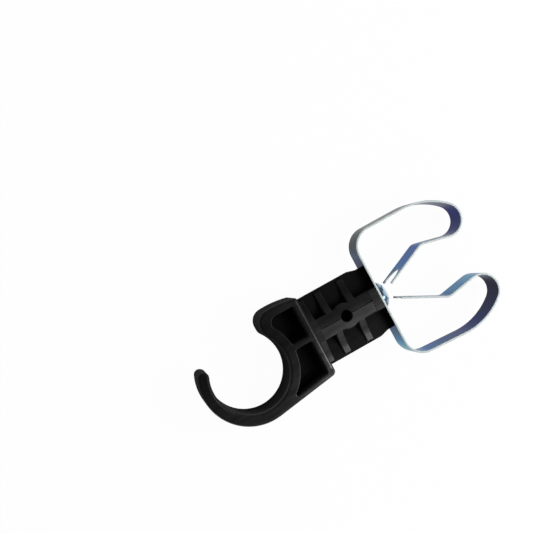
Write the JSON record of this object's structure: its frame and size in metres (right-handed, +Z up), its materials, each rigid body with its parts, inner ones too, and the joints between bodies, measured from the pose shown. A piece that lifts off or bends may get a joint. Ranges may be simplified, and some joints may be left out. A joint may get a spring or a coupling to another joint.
{
  "type": "test tube holder",
  "caption": "Clip-on holder: black plastic hook for a round rail, with a bent spring steel strip that grips a test tube.",
  "frame": {"origin": "centre of the rail's bore in the hook, at mid-height", "axes": "+X from the rail to the mouth of the clip, +Y towards the hook's opening and spur, +Z up out of the flat face, along the rail and the tube"},
  "size_m": [0.093, 0.0419, 0.015],
  "materials": {
    "black_plastic": "satin moulded, fine texture",
    "blued_steel": "blued spring steel strip with bright sheared edges",
    "zinc_steel": "bright zinc plate"
  },
  "bodies": {
    "holder": {"hook_body": "black_plastic", "clip_screw": "zinc_steel", "spring_base": "blued_steel"},
    "left_limb": {"left_spring_limb": "blued_steel"},
    "left_arm": {"left_spring_arm": "blued_steel"},
    "right_limb": {"right_spring_limb": "blued_steel"},
    "right_arm": {"right_spring_arm": "blued_steel"}
  },
  "joints": [
    {"name": "left_spread", "type": "hinge", "parent": "holder", "child": "left_limb", "pos_m": [0.04636, 0.01834, 0], "axis": [0, 0, 1], "range_deg": [-2, 10], "stiffness_Nm_per_rad": 1.1},
    {"name": "left_grip", "type": "hinge", "parent": "left_limb", "child": "left_arm", "pos_m": [0.07684, 0.00871, 0], "axis": [0, 0, -1], "range_deg": [-2, 12], "stiffness_Nm_per_rad": 1.1},
    {"name": "right_spread", "type": "hinge", "parent": "holder", "child": "right_limb", "pos_m": [0.04623, -0.01861, 0], "axis": [0, 0, -1], "range_deg": [-2, 10], "stiffness_Nm_per_rad": 1.1},
    {"name": "right_grip", "type": "hinge", "parent": "right_limb", "child": "right_arm", "pos_m": [0.07712, -0.01072, 0], "axis": [0, 0, 1], "range_deg": [-2, 12], "stiffness_Nm_per_rad": 1.1}
  ]
}
